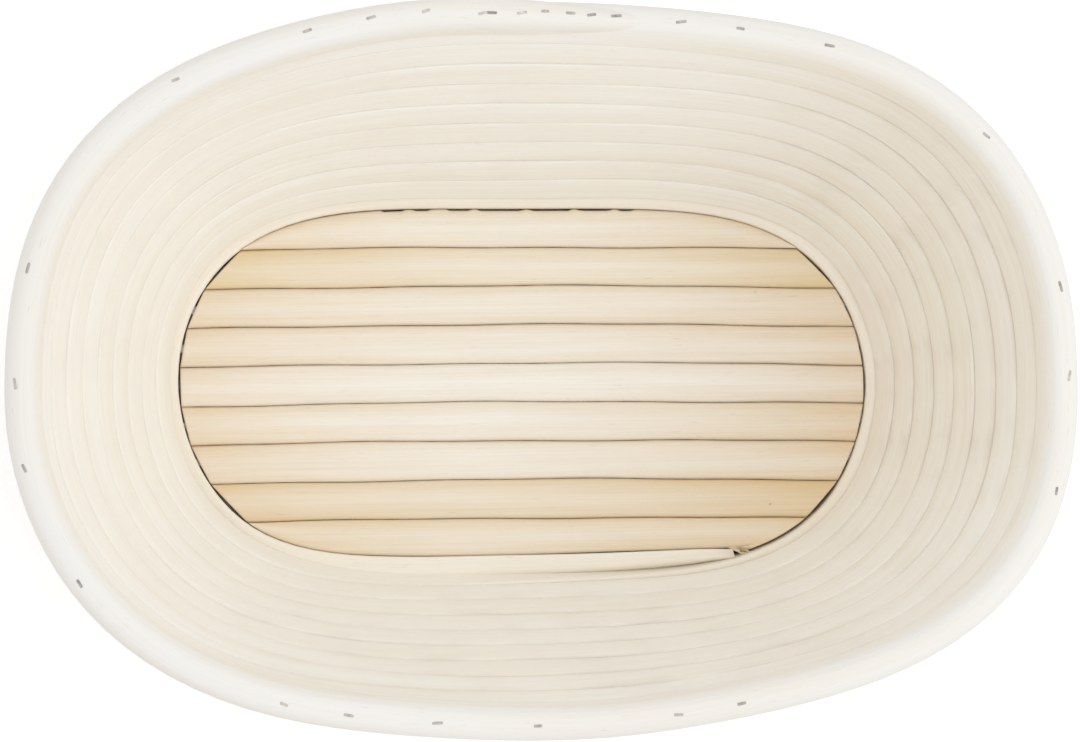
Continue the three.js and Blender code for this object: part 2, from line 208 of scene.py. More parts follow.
JOINT_WANDER = ((0.00012, 70), (0.00007, 190))    # how far each joint wanders, and radians per metre
JOINT_GAP = 0.00007               # widest opening of a joint
GAP_MEAN = 0.62                   # of the openings along a joint, as a share of the widest
GAP_SWING = 0.40
GAP_LEAST = 0.04
GAP_WAVES = (15, 200, 16)         # fewest and most waves in a metre, and how many are added up
GAP_POINTS = np.linspace(-0.08, 0.08, 801)
# Places across the floor, and the openings there between the slats' ends and the wall.
GAP_PLACES = np.array((-36, -34, -31, -27, -22, -17, -12, -7, -3, 1, 5, 9, 14, 20, 25, 29, 34)) / 1000
LEFT_GAPS = np.array((6, 18, 36, 18, 21, 12, 9, 12, 21, 25, 29, 30, 29, 26, 24, 26, 16)) / 100000
RIGHT_GAPS = np.array((24, 24, 30, 14, 12, 10, 18, 21, 15, 17, 29, 29, 19, 13, 18, 30, 10)) / 100000
SAWN_STRAIGHT = 0.8               # share of the way from the wall's curve to a straight cut
SLAT_REACH = 0.07                 # from the middle of the floor to the ends of the longer slats, about
END_STEPS = 4                     # in which the ends of a slat are found
SLAT_EDGE_HEIGHT = 0.0021
SLAT_CROWN_SHARPNESS = 3.2        # 2 is a half round, more is flatter
END_ROUNDING = 0.0005
SLAT_TONES = (0.07, 0.15, 0.01, -0.04, -0.12, -0.01, -0.01, 0.26, 0.18)
SLAT_YELLOWS = (0.25, 0.40, 0.15, 0.10, 0.0, 0.20, 0.15, 0.25, 0.30)    # how far each slat's tan is yellow
END_TONES = (0.35, 0.37)          # tan towards the left and right ends of the slats
LOWER_EDGE_PALER = 0.09           # of the edge's tan and painted shade, that the lower edge of each slat lacks
EDGE_TAN_AND_SHADE = (0.1, 1.0, 0.0, 0.27)  # range across a slat's half width, and the range of tan there: partly the cane's own tan, partly painted shade where the crowned top falls to the joints
# painted shade along the joints, in the same form: the outer part of each half width darkens
EDGE_SHADE = (0.86, 1.0, 0.0, 0.21)
SLAT_PALE = (0.88, 0.85, 0.785, 1.0)
SLAT_TAN = (0.72, 0.53, 0.33, 1.0)
SLAT_YELLOW = (0.72, 0.55, 0.20, 1.0)
SLAT_DARK = (0.20, 0.135, 0.075, 1.0)
SPECKS = ((0.0513, 0.0202, 0.0066), (0.0535, -0.0257, 0.0066))    # dark spots on two of the slats
SPECK_RADIUS = 0.00045
SPECK_SOIL = 0.9
rng = np.random.default_rng(11)


def ease(share):
    """A share held between 0 and 1, with a level start and end."""
    held = np.clip(share, 0, 1)
    return held * held * (3 - 2 * held)


def waves(across, slowest, fastest, count):
    """A smooth uneven line between about -1 and 1: sines of seeded lengths and starts, added up."""
    rates = rng.uniform(slowest, fastest, count)
    starts = rng.uniform(0, 2 * np.pi, count)
    return np.sin(2 * np.pi * np.multiply.outer(across, rates) + starts).sum(axis=-1) / np.sqrt(2 * count)


def growth(turn):
    """Share of the way from the foot's oval to the rim's: steady, then a parabola, then constant for the
    last turn."""
    rim_start = COIL_TURNS - 1
    past = turn - rim_start
    bent = turn - (past + RIM_BLEND) ** 2 / (4 * RIM_BLEND)
    return np.where(past <= -RIM_BLEND, turn, np.where(past >= RIM_BLEND, rim_start, bent)) / rim_start


def smooth_line(at, places, values):
    """A smooth line through given values: cubic pieces, with slopes taken from the neighbouring values."""
    slopes = np.gradient(values, places)
    piece = np.clip(np.searchsorted(places, at) - 1, 0, len(places) - 2)
    span = places[piece + 1] - places[piece]
    share = np.clip((at - places[piece]) / span, 0, 1)
    eased = ease(share)
    bend = share * (1 - share) * span * (slopes[piece] * (1 - share) - slopes[piece + 1] * share)
    return values[piece] + (values[piece + 1] - values[piece]) * eased + bend


def uneven(angle, waves_round):
    """Waves round the oval, added up, in metres."""
    return sum(
        deep * np.cos(count * angle) + aside * np.sin(count * angle)
        for count, deep, aside in waves_round
    ) / 1000


def coil_plan(turn, bulge=1.0):
    """Middle of the wall's cane in plan, and the direction out of the basket, clockwise from the start.
    The oval is (x/a)^p + (y/b)^q = 1, and a, b, p and q follow the growth. Its reach along each angle is
    found by Newton's steps. The foot's waves fade with the growth and the rim's come, and the start of the
    cane bulges inward."""
    share = growth(turn)[..., None]
    half = np.array(FOOT_HALF) + np.subtract(RIM_HALF, FOOT_HALF) * share
    powers = np.array(FOOT_POWERS) + np.subtract(RIM_POWERS, FOOT_POWERS) * share
    angle = START_ANGLE - 2 * np.pi * turn
    aim = np.stack([np.cos(angle), np.sin(angle)], axis=-1)
    reach = np.ones_like(share)
    for _ in range(NEWTON_STEPS):
        parts = np.abs(aim * reach) ** powers
        excess = parts.sum(axis=-1, keepdims=True) - 1
        reach -= reach * excess / (powers * parts).sum(axis=-1, keepdims=True)
    slope = np.sign(aim) * powers * np.abs(aim * reach) ** (powers - 1) / half
    outward = slope / np.linalg.norm(slope, axis=-1, keepdims=True)
    share = share[..., 0]
    inset = np.where(turn < CLIMB_TURNS, bulge * smooth_line(turn, START_TURNS, START_BULGE), 0)
    moved = uneven(angle, FOOT_UNEVEN) * (1 - share) ** 3 + uneven(angle, RIM_UNEVEN) * share ** 2 - inset
    return half * aim * reach + moved[..., None] * outward, outward


def wall_inside(first_turn, last_turn):
    """Points along the inside of the wall at the floor, between two places on the first turn."""
    middle, outward = coil_plan(np.linspace(first_turn, last_turn, SIDE_POINTS))
    return middle - CANE_HALF_THICKNESS * outward


lower_side = wall_inside(*LOWER_TURNS)[::-1]
upper_side = wall_inside(*UPPER_TURNS)
left_side = wall_inside(*LEFT_TURNS)
right_side = wall_inside(*RIGHT_TURNS)[::-1]
joint_waves = rng.uniform(0, 2 * np.pi, (SLAT_COUNT + 1, 2))


def joint(number, x):
    """A joint's line across the floor: straight, tilted and bowed, with a slow wander of its own."""
    if number == 0:
        return np.full_like(x, left_side[:, 1].max())
    if number == SLAT_COUNT:
        return LAST_EDGE + LAST_EDGE_SLOPE * np.maximum(x, 0)
    starts = joint_waves[number]
    wander = sum(far * np.sin(rate * x + start) for (far, rate), start in zip(JOINT_WANDER, starts))
    return FIRST_JOINT - SLAT_PITCH * (number - 1) + JOINT_TILT * x + JOINT_BOW * x * x + wander


def spread(count):
    """Shares from 0 to 1 that lie closer together towards both ends."""
    return (1 - np.cos(np.linspace(0, np.pi, count))) / 2


joint_gaps = [
    JOINT_GAP * np.clip(GAP_MEAN + GAP_SWING * waves(GAP_POINTS, *GAP_WAVES), GAP_LEAST, 1.0)
    for number in range(SLAT_COUNT + 1)
]


def top_gap(x):
    """Opening between the first slat and the wall: narrow, and wide over a few stretches with short
    slopes."""
    inside = np.minimum(x[..., None] - TOP_OPENINGS[:, 0], TOP_OPENINGS[:, 1] - x[..., None]).max(axis=-1)
    return TOP_GAP + (TOP_GAP_OPEN - TOP_GAP) * np.clip(inside / TOP_GAP_SLOPE, 0, 1)


def slat_points(row, lengths=260, widths=25):
    """A slat's upper and lower skins on one grid, and each point's place from -1 to 1 across the slat. Along
    it x runs between the two ends that the wall allows at each y, sawn nearly straight, and across it y runs
    between two joints. The top is a flattened half round above upright edges."""
    across = spread(widths)[None, :]
    along = spread(lengths)[:, None]
    ends = []
    for side, line, gaps in ((-1, left_side, LEFT_GAPS), (1, right_side, RIGHT_GAPS)):
        x = np.full_like(across, SLAT_REACH * side)
        for _ in range(END_STEPS):
            y = slat_width_place(row, x, across)
            x = np.interp(y, line[:, 1], line[:, 0]) - side * np.interp(y, GAP_PLACES, gaps)
        if 1 < row < SLAT_COUNT:
            cut = x[:, :1] + (x[:, -1:] - x[:, :1]) * (y - y[:, :1]) / (y[:, -1:] - y[:, :1])
            x = x + SAWN_STRAIGHT * (cut - x)
        ends.append(x)
    x = ends[0] + along * (ends[1] - ends[0])
    y = slat_width_place(row, x, across)
    low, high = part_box(f"slat_{row}")
    crown = (1 - np.abs(2 * across - 1) ** SLAT_CROWN_SHARPNESS) ** (1 / SLAT_CROWN_SHARPNESS)
    top = SLAT_EDGE_HEIGHT + (high.z - low.z - SLAT_EDGE_HEIGHT) * crown
    from_end = np.minimum(x - ends[0], ends[1] - x) / END_ROUNDING
    rounding = END_ROUNDING * (1 - np.sqrt(1 - (1 - np.clip(from_end, 0, 1)) ** 2))
    upper = np.stack([x, y, low.z + top - rounding], axis=-1)
    lower = np.stack([x, y, np.full_like(x, low.z)], axis=-1)
    return upper, lower, 2 * across - 1 + 0 * x


def slat_width_place(row, x, across):
    """Place across a slat, from the joint below it to the joint above it, less half of each joint's
    opening."""
    above = joint(row - 1, x) - np.interp(x, GAP_POINTS, joint_gaps[row - 1]) / 2
    below = joint(row, x) + np.interp(x, GAP_POINTS, joint_gaps[row]) / 2
    if row == 1:
        above = np.minimum(above, np.interp(x, upper_side[:, 0], upper_side[:, 1]) - top_gap(x))
    if row == SLAT_COUNT:
        start_edge = np.interp(x, lower_side[:, 0], lower_side[:, 1], right=-1) + JOINT_GAP
        below = np.maximum(below, start_edge)
        corner = np.where(x > lower_side[-1, 0] + START_CLEARANCE, np.maximum(below - CORNER_EDGE, 0), 0)
        return below + across * (above - below) - corner * ease(1 - across / CORNER_SHARE)
    return below + across * (above - below)


def grid_faces(rows, columns, first=0):
    """Quads over a grid of points that are numbered row by row."""
    corner = first + np.arange(rows - 1)[:, None] * columns + np.arange(columns - 1)[None, :]
    return np.stack([corner, corner + columns, corner + columns + 1, corner + 1], axis=-1).reshape(-1, 4)


def slab_faces(rows, columns):
    """Faces of an upper skin, of the lower skin under it, and of the edge strip that joins their borders."""
    upper = grid_faces(rows, columns)
    lower = grid_faces(rows, columns, rows * columns)[:, ::-1]
    number = np.arange(rows * columns).reshape(rows, columns)
    border = np.concatenate([number[0, :-1], number[:-1, -1], number[-1, :0:-1], number[:0:-1, 0]])
    after = np.roll(border, -1)
    below = rows * columns
    return np.concatenate([upper, lower, np.stack([border, after, after + below, border + below], axis=-1)])


def new_piece(name, points, faces, material, slot, *nodes):
    """A smooth mesh in the basket's own frame, which rides on the basket and stands for CAD nodes."""
    mesh = bpy.data.meshes.new(name)
    mesh.from_pydata(points.reshape(-1, 3).tolist(), [], [list(face) for face in faces])
    mesh.polygons.foreach_set("use_smooth", np.ones(len(mesh.polygons), bool))
    mesh.materials.append(material)
    mesh.update()
    piece = bpy.data.objects.new(name, mesh)
    bpy.context.scene.collection.objects.link(piece)
    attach(piece, "root")
    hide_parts(*nodes)
    return piece


def set_attribute(piece, name, kind, values):
    """Gives each point of a piece a number or a vector that its material reads."""
    attribute = piece.data.attributes.new(name, kind, "POINT")
    field = "vector" if kind == "FLOAT_VECTOR" else "value"
    attribute.data.foreach_set(field, np.ravel(values).astype(np.float32))


split_cane = new_material("split_cane")
slat_tree = split_cane.node_tree
slat_place = add_node(slat_tree, "ShaderNodeTexCoord", {}).outputs["Object"]
slat_edge = add_node(slat_tree, "ShaderNodeAttribute", {}, attribute_name="edge").outputs["Fac"]
slat_tone = add_node(slat_tree, "ShaderNodeAttribute", {}, attribute_name="tone").outputs["Fac"]
slat_yellow = add_node(slat_tree, "ShaderNodeAttribute", {}, attribute_name="yellow").outputs["Fac"]
# tan of each slat, with tan and painted shade towards its edges
slat_toned = combine(slat_tree, "ADD", between(slat_tree, slat_edge, *EDGE_TAN_AND_SHADE), slat_tone)
# painted shade along each slat's joints, and dark spots on two slats
slat_shade_and_spots = between(slat_tree, slat_edge, *EDGE_SHADE)
for speck in SPECKS:
    apart = add_node(slat_tree, "ShaderNodeVectorMath", {0: slat_place, 1: speck}, operation="DISTANCE")
    spot = between(slat_tree, apart.outputs["Value"], 0.0, SPECK_RADIUS, SPECK_SOIL, 0.0)
    slat_shade_and_spots = combine(slat_tree, "MAXIMUM", slat_shade_and_spots, spot)
slat_tan = tint(slat_tree, slat_yellow, SLAT_TAN, SLAT_YELLOW)
cane_shader(split_cane, slat_place, SLAT_PALE, slat_tan, SLAT_DARK, slat_toned, slat_shade_and_spots)

for row in range(1, SLAT_COUNT + 1):
    upper, lower, aside = slat_points(row)
    edge = np.abs(aside)
    slat = new_piece(f"floor_slat_{row}", np.concatenate([upper, lower]), slab_faces(*edge.shape),
                     split_cane, "split_cane", f"slat_{row}")
    set_attribute(slat, "edge", "FLOAT", np.concatenate([edge, edge]))
    outer = np.clip(np.abs(upper[..., 0]) / SLAT_REACH, 0, 1) ** 2
    ends = np.where(upper[..., 0] < 0, END_TONES[0], END_TONES[1]) * outer
    tone = SLAT_TONES[row - 1] + ends - LOWER_EDGE_PALER * np.maximum(-aside, 0) ** 2
    set_attribute(slat, "tone", "FLOAT", np.concatenate([tone, tone]))
    set_attribute(slat, "yellow", "FLOAT", np.full(2 * edge.size, SLAT_YELLOWS[row - 1]))


# Staples: bent steel wire, driven up through each batten into two neighbouring slats.
# Their crowns lie in slots in the battens' undersides.
STEEL_LIGHT = (0.43, 0.42, 0.40, 1.0)
STEEL_DULL = (0.29, 0.28, 0.26, 1.0)
CANE_DUST = (0.80, 0.75, 0.67, 1.0)
DULL_NOISE = {"Scale": 900.0, "Detail": 3.0}
DULL_RANGE = (0.4, 0.65)          # of the noise, from light steel to dull
STEEL_ROUGHNESS = (0.35, 0.7, 0.5, 0.75)    # range of the noise, and the range of roughness that it gives
STEEL_METALLIC = 0.8
STEEL_RELIEF = {"Strength": 0.2, "Distance": 0.00003}


def steel_shader(material):
    """Plain steel wire, dulled in small patches. The attribute dust covers a piece with dust of the cane."""
    tree = material.node_tree
    shader = tree.nodes["Principled BSDF"]
    place = add_node(tree, "ShaderNodeTexCoord", {}).outputs["Object"]
    noise = add_node(tree, "ShaderNodeTexNoise", {"Vector": place, **DULL_NOISE})
    patches = noise.outputs["Fac"]
    steel = tint(tree, between(tree, patches, *DULL_RANGE), STEEL_LIGHT, STEEL_DULL)
    dust = add_node(tree, "ShaderNodeAttribute", {}, attribute_name="dust").outputs["Fac"]
    tree.links.new(tint(tree, dust, steel, CANE_DUST), shader.inputs["Base Color"])
    tree.links.new(between(tree, patches, *STEEL_ROUGHNESS), shader.inputs["Roughness"])
    shader.inputs["Metallic"].default_value = STEEL_METALLIC
    bump = add_node(tree, "ShaderNodeBump", {"Height": patches, **STEEL_RELIEF})
    tree.links.new(bump.outputs["Normal"], shader.inputs["Normal"])


fastener_steel = new_material("fastener_steel")
steel_shader(fastener_steel)
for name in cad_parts:
    if name.startswith("batten_staple_"):
        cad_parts[name].data.materials.clear()
        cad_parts[name].data.materials.append(fastener_steel)


# Wall: one long peeled cane, wound clockwise in a climbing spiral, each turn pressed down on the turn below.
# Its shaved start lies beside the last slat, and its shaved end lies on the rim.
TURN_PITCH = 0.0077               # from the middle of one turn to the middle of the next
CANE_HALF_HEIGHT = 0.00388        # up the wall, over half the pitch, so that turns press together
CANE_RADIUS = 0.003625            # of the cane as it was cut
FIRST_MIDDLE = 0.003125           # height of the first turn's middle, with its underside planed
INSIDE_SHARPNESS = 12.0           # of the cane's section, which is sanded almost flush inside; 2 is round
OUTSIDE_SHARPNESS = 3.0
RIM_SHARPNESS = 2.3
START_LEAST = 0.35                # share of the cane's thickness that is left at its start
SCARF_TURNS = 34 / 360            # in which the end is shaved down on to the turn below
SCARF_TIP = -0.0002               # that the tip stands above the turn below, into which it is shaved
SCARF_THINNER = 0.04              # share of the thickness and height that is lost along the shaved end
SCARF_LOWER = 0.02
TIP_THINNER = 0.3                 # and of the thickness over the half of it at the tip
FIRST_RISE = 0.0011               # of the first turn's top towards the turn that lies on it
LINES_PER_TURN = 120
SECTION_POINTS = 32
END_CREST = np.radians(20)        # of the rim's brads from its top, outward, at the ends of the oval
SIDE_CREST = np.radians(10)       # and along its sides
WANDER = 0.00010                  # of the cane from its line
GIRTH_SWING = 0.012               # share by which the cane is thicker and thinner
# Fewest and most waves in a turn, and how many are added up.
WANDER_WAVES = (1.0, 14.0, 12)
GIRTH_WAVES = (0.5, 9.0, 12)
FRAY_WAVES = (12.0, 45.0, 16)
# Turn at which a change starts, and the turns that it takes.
LEAN_START = (0.85, 0.3)          # the cane leans with the wall
RISE_START = (0.2, 0.15)          # the first turn's top rises
START_FADE = (0.9, 0.3)           # the tan and painted shade of the start goes
UNSHADED_TOP_FADE = (0.8, 1.0)        # the painted shade of the crease above the cane grows
UNSHADED_FOOT_START = (1.1, 0.15)     # the painted shade of the crease below it is absent, and then grows
UNSHADED_FOOT_FADE = (1.2, 1.0)
RIM_TURNS = 1.2                   # of the cane that are the rim, and the turns in which it becomes the rim
RIM_FADE = 0.18
# The walls take a paler copy of the cane colour, and the rim's top and outside take a darker, greyer one, as
# painted light and shade: the open rim is fully lit and the walls are shaded.
CANE_PALE = (0.92, 0.905, 0.86, 1.0)
CANE_RIM_LIT = (0.832, 0.822, 0.795, 1.0)
CANE_TAN = (0.78, 0.67, 0.50, 1.0)
CANE_DARK = (0.30, 0.19, 0.08, 1.0)
WALL_TONE = 0.02                  # tan that the wall has taken on, and painted shade as more tan on the right, which faces away from the side lamp
SIDE_SHADE_TONE = 0.22
# tan of the first turn: partly the cane's own tone, partly painted shade over its upward-facing top
START_TAN_AND_SHADE = 0.34
CREASE_SHADE = 0.10                # painted shade in the creases between the turns
SIDE_CREASE = 0.17                # and more of it on the right and along the near side
NEAR_CREASE = 0.22
CREASE_FRAY = 0.10                # unevenness of the painted shade's edge, as a share of the cane's half height
CREASE_EDGE = (0.73, 0.26)        # share of the half height at which the painted shade starts, and its fade
RIM_LESS_SHADE = 0.5                 # share of the painted crease shade that the rim lacks
RIM_SHOULDER = 0.7                # fade of the rim's lit copy of the cane colour down its inner side
# Place from which the right side's painted shade and the near side count, in metres, and their fade.
SHADE_SIDE = (0.03, 0.05)
SHADE_NEAR = (0.005, 0.05)
NEAR_SIDE = (0.035, 0.02)
NEAR_ENDS = (0.04, 0.04)
SHADE_NEAR_LOSS = 0.9               # share of the right side's painted shade that the near side lacks
SHADE_START_LOSS = 0.6              # share of the start's tan and painted shade that the right side lacks, where the right side's own painted shade lies


def turn_step(turn, bulge=1.0):
    """How far a turn lies out of the basket from the turn below it."""
    middle, outward = coil_plan(turn)
    return ((middle - coil_plan(turn - 1, bulge)[0]) * outward).sum(axis=-1)


def turn_rise(turn):
    """How far a turn lies above the turn below it: the rest of the pitch, less while it climbs on to the
    start."""
    return np.sqrt(TURN_PITCH ** 2 - turn_step(turn) ** 2) * ease((turn - 1) / CLIMB_TURNS)


def coil_height(turn):
    """Height of the cane's middle: the rises of all the turns below it, added up."""
    height = np.full_like(turn, FIRST_MIDDLE)
    for below in range(int(COIL_TURNS)):
        height += np.where(turn - below >= 1, turn_rise(np.maximum(turn - below, 1)), 0)
    return height


def shaved_radius(turn):
    """Radius that is left of the cane's start, so that it clears the turn that climbs over it. It is the
    circle that touches the inside and the underside of the whole cane and the outside of that turn."""
    level = turn_step(turn + 1) + CANE_RADIUS
    upright = turn_rise(turn + 1) + CANE_RADIUS
    total = level + upright + CANE_RADIUS
    left = total - np.sqrt(total ** 2 - level ** 2 - upright ** 2 + CANE_RADIUS ** 2)
    return np.where(turn < CLIMB_TURNS, np.minimum(left, CANE_RADIUS), CANE_RADIUS)


def crest_angle(outward):
    """Angle from upright of the line that the rim's brads follow, which grows with the square of the x
    direction."""
    return SIDE_CREST + (END_CREST - SIDE_CREST) * outward[..., 0] ** 2


def fade(value, start, length):
    """0 up to a start, 1 past a length beyond it, and eased between them."""
    return ease((value - start) / length)


turns = np.linspace(0, COIL_TURNS, int(COIL_TURNS * LINES_PER_TURN))
angles = np.linspace(-np.pi, np.pi, SECTION_POINTS, endpoint=False)
plan, outward = coil_plan(turns)
past_first = fade(turns, *LEAN_START)
lean = np.arcsin(turn_step(np.where(turns < 1, turns + 1, turns), 0.0) / TURN_PITCH) * past_first
scarf = np.clip(1 - (COIL_TURNS - turns) / SCARF_TURNS, 0, 1)
radius = np.maximum(shaved_radius(turns), START_LEAST * CANE_RADIUS)
shaved = CANE_RADIUS - radius
left_thick = 1 - SCARF_THINNER * scarf - TIP_THINNER * ease(2 * scarf - 1)
thickness = CANE_HALF_THICKNESS * radius / CANE_RADIUS * left_thick
half_height = CANE_HALF_HEIGHT * (1 - SCARF_LOWER * scarf)
girth = 1 + GIRTH_SWING * waves(turns, *GIRTH_WAVES)

up = np.stack([outward[:, 0] * np.sin(lean), outward[:, 1] * np.sin(lean), np.cos(lean)], axis=-1)
out = np.stack([outward[:, 0] * np.cos(lean), outward[:, 1] * np.cos(lean), -np.sin(lean)], axis=-1)
level = np.column_stack([outward, np.zeros(len(turns))])
middle = np.column_stack([plan, coil_height(turns)])
middle -= level * (CANE_HALF_THICKNESS * shaved / CANE_RADIUS)[:, None]
middle -= up * ((TURN_PITCH - SCARF_TIP) * scarf ** 2 * (2 - scarf))[:, None]
middle += up * (WANDER * waves(turns, *WANDER_WAVES))[:, None]
middle += out * (WANDER * waves(turns, *WANDER_WAVES))[:, None]

on_rim = fade(turns, COIL_TURNS - RIM_TURNS, RIM_FADE)
round_about = angles[None, :] + (on_rim * (crest_angle(outward) - lean))[:, None]
wall_sharpness = np.where(np.sin(round_about) < 0, INSIDE_SHARPNESS, OUTSIDE_SHARPNESS)
open_top = on_rim[:, None] * (np.cos(round_about) > 0)
sharpness = wall_sharpness + (RIM_SHARPNESS - wall_sharpness) * open_top
upward = np.sign(np.cos(round_about)) * np.abs(np.cos(round_about)) ** (2 / sharpness)
sideways = np.sign(np.sin(round_about)) * np.abs(np.sin(round_about)) ** (2 / sharpness)
coil = (middle[:, None]
        + (half_height * girth)[:, None, None] * upward[..., None] * up[:, None]
        + (thickness * girth)[:, None, None] * sideways[..., None] * out[:, None])

first_top = ((1 - past_first) * fade(turns, *RISE_START))[:, None] * np.maximum(upward, 0)
coil[..., 2] += FIRST_RISE * first_top * (1 + sideways)
coil[..., 2] = np.maximum(coil[..., 2], 0)


def tube_faces(rings, around):
    """Quads round a closed tube of rings, and one flat face at each end."""
    ring = np.arange(rings - 1)[:, None] * around
    here = np.arange(around)[None, :]
    after = (here + 1) % around
    sides = np.stack([ring + here, ring + around + here, ring + around + after, ring + after], axis=-1)
    first = np.arange(around)
    last = (rings - 1) * around + np.arange(around)[::-1]
    return [*sides.reshape(-1, 4), first, last]


wall_cane = new_material("wall_cane")
wall_tree = wall_cane.node_tree
wall_grain = add_node(wall_tree, "ShaderNodeAttribute", {}, attribute_name="grain").outputs["Vector"]
# tan of the wall: its own tone, and painted shade on the right side and the first turn
wall_tan_and_shade = add_node(wall_tree, "ShaderNodeAttribute", {}, attribute_name="tan_and_shade").outputs["Fac"]
wall_crease = add_node(wall_tree, "ShaderNodeAttribute", {}, attribute_name="crease").outputs["Fac"]
wall_rim_lit = add_node(wall_tree, "ShaderNodeAttribute", {}, attribute_name="rim").outputs["Fac"]
# the walls' paler cane colour, and the rim's darker lit copy of it
wall_pale = tint(wall_tree, wall_rim_lit, CANE_PALE, CANE_RIM_LIT)
cane_shader(wall_cane, wall_grain, wall_pale, CANE_TAN, CANE_DARK, wall_tan_and_shade, wall_crease)

line_lengths = np.concatenate([[0], np.linalg.norm(np.diff(middle, axis=0), axis=1).cumsum()])
wall = new_piece("coiled_wall", coil, tube_faces(*coil.shape[:2]), wall_cane, "wall_cane", "wall_coil")
grain = np.stack([
    np.repeat(line_lengths[:, None], len(angles), axis=1),
    half_height[:, None] * upward,
    thickness[:, None] * sideways,
], axis=-1)
set_attribute(wall, "grain", "FLOAT_VECTOR", grain)
# Painted shade: more tan on the right side of the wall, which faces away from the side lamp, and less of it
# along the near side.
shaded_right = fade(coil[..., 0], *SHADE_SIDE) * (1 - SHADE_NEAR_LOSS * fade(-coil[..., 1], *SHADE_NEAR))
near = fade(-coil[..., 1], *NEAR_SIDE) * (1 - fade(np.abs(coil[..., 0]), *NEAR_ENDS))
first_turn = (1 - fade(turns, *START_FADE))[:, None]
# The wall's own tan, with painted shade on the right side and partly on the first turn.
tanned_and_shaded = WALL_TONE + SIDE_SHADE_TONE * shaded_right + START_TAN_AND_SHADE * first_turn * (1 - SHADE_START_LOSS * shaded_right)
# Painted shade in the creases between the turns: stronger on the right and along the near side, and weaker
# on the rim.
unshaded_top = 1 - (1 - on_rim) * fade(turns, *UNSHADED_TOP_FADE)
unshaded_foot = fade(turns, *UNSHADED_FOOT_START) * (1 - fade(turns, *UNSHADED_FOOT_FADE))
unshaded = np.where(upward > 0, unshaded_top[:, None], unshaded_foot[:, None])
fray = CREASE_FRAY * waves(turns, *FRAY_WAVES)[:, None]
pressed = fade(np.abs(upward) + fray, *CREASE_EDGE) * (1 - unshaded)
darkening = CREASE_SHADE + SIDE_CREASE * shaded_right + NEAR_CREASE * near
# Share of the cane that takes the rim's darker lit copy of the colour. It lacks the wall's tan and painted
# shade and has less crease shade.
open_side = np.where(np.sin(round_about) < 0, ease(np.cos(round_about) / RIM_SHOULDER), 1)
rim_lit_share = on_rim[:, None] * open_side
set_attribute(wall, "tan_and_shade", "FLOAT", tanned_and_shaded * (1 - rim_lit_share))
set_attribute(wall, "crease", "FLOAT", darkening * pressed * (1 - RIM_LESS_SHADE * rim_lit_share))
set_attribute(wall, "rim", "FLOAT", rim_lit_share)


# Brads: short flat steel wires without heads, driven through the rim into the turn below, and level through
# the first turn into the slats. They were driven by hand, so each is turned and placed a little differently,
# and the dust of sanding lies on some of them.
BRAD_HALF = (0.00105, 0.0003)     # half width and half thickness
BRAD_PROUD = 0.00003
RIM_BRAD_LENGTH = 0.0126
FLOOR_BRAD_LENGTH = 0.0138
BRAD_POINT_LENGTH = 0.0016
BRAD_POINT_SHARE = 0.28
BRAD_EDGE = 0.00008
BRAD_TOP_SHARES = (0.85, 0.97)    # of the width that are left on the eased top
BRAD_WIDTHS = (0.8, 1.1)          # least and most of the width that a brad has
BRAD_SQUARENESS = 0.35            # power of the section's curve: 1 is an oval, less is squarer
BRAD_ROUND = 24
SEARCH_POINTS = 8001
CANE_STEP = 0.003                 # turns to each side, between which the cane's direction is taken
BRAD_TURN = np.radians(13)        # most that a brad is turned about its own length
BRAD_DUST = 0.5                   # most that a brad is covered with dust
# In mm, how far some brads of the shaved end slipped along the cane, and off its crest into the basket.
BRAD_SLIPS = {"rim_brad_22": 0.4, "rim_brad_24": 0.5, "rim_brad_27": -1.4, "rim_brad_28": 1.6}
BRAD_INSETS = {"rim_brad_22": -0.25, "rim_brad_26": 0.6, "rim_brad_27": 0.8, "rim_brad_28": 0.9}


def nearest_turn(node, first, last):
    """Place along the cane, in turns, that lies nearest to a node's box in plan."""
    low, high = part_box(node)
    nearby = np.linspace(first, last, SEARCH_POINTS)
    apart = np.linalg.norm(coil_plan(nearby)[0] - (np.array(low) + np.array(high))[:2] / 2, axis=-1)
    return nearby[apart.argmin()]


def on_line(turn, line):
    """Point of a line along the cane, given at the coil's own turns."""
    return np.array([np.interp(turn, turns, line[:, axis]) for axis in range(3)])


def brad_points(top, axis, cane, length):
    """A brad's rings: a flat rounded section carried down its axis, eased at the top and drawn to a chisel
    point. The axis is squared to the direction of the cane first, and the section lies along the cane,
    turned a little."""
    cane = cane / np.linalg.norm(cane)
    axis = axis - cane * (axis @ cane)
    axis = axis / np.linalg.norm(axis)
    turned = rng.uniform(-BRAD_TURN, BRAD_TURN)
    ahead = cane * np.cos(turned) + np.cross(axis, cane) * np.sin(turned)
    broad = np.cross(axis, ahead)
    depth = np.array([0, 0, BRAD_EDGE, length - BRAD_POINT_LENGTH, length])
    scale = np.array([*BRAD_TOP_SHARES, 1.0, 1.0, BRAD_POINT_SHARE])
    around = np.linspace(0, 2 * np.pi, BRAD_ROUND, endpoint=False)
    along = np.sign(np.cos(around)) * np.abs(np.cos(around)) ** BRAD_SQUARENESS
    aside = np.sign(np.sin(around)) * np.abs(np.sin(around)) ** BRAD_SQUARENESS
    return (top - depth[:, None, None] * axis
            + rng.uniform(*BRAD_WIDTHS) * BRAD_HALF[0] * (scale[:, None] * along)[..., None] * ahead
            + BRAD_HALF[1] * aside[None, :, None] * broad)


def new_brad(node, points):
    """A brad in place of its node, with dust of its own."""
    faces = tube_faces(*points.shape[:2])
    brad = new_piece(f"{node}_wire", points, faces, fastener_steel, "fastener_steel", node)
    set_attribute(brad, "dust", "FLOAT", np.full(points[..., 0].size, rng.uniform(0, BRAD_DUST)))


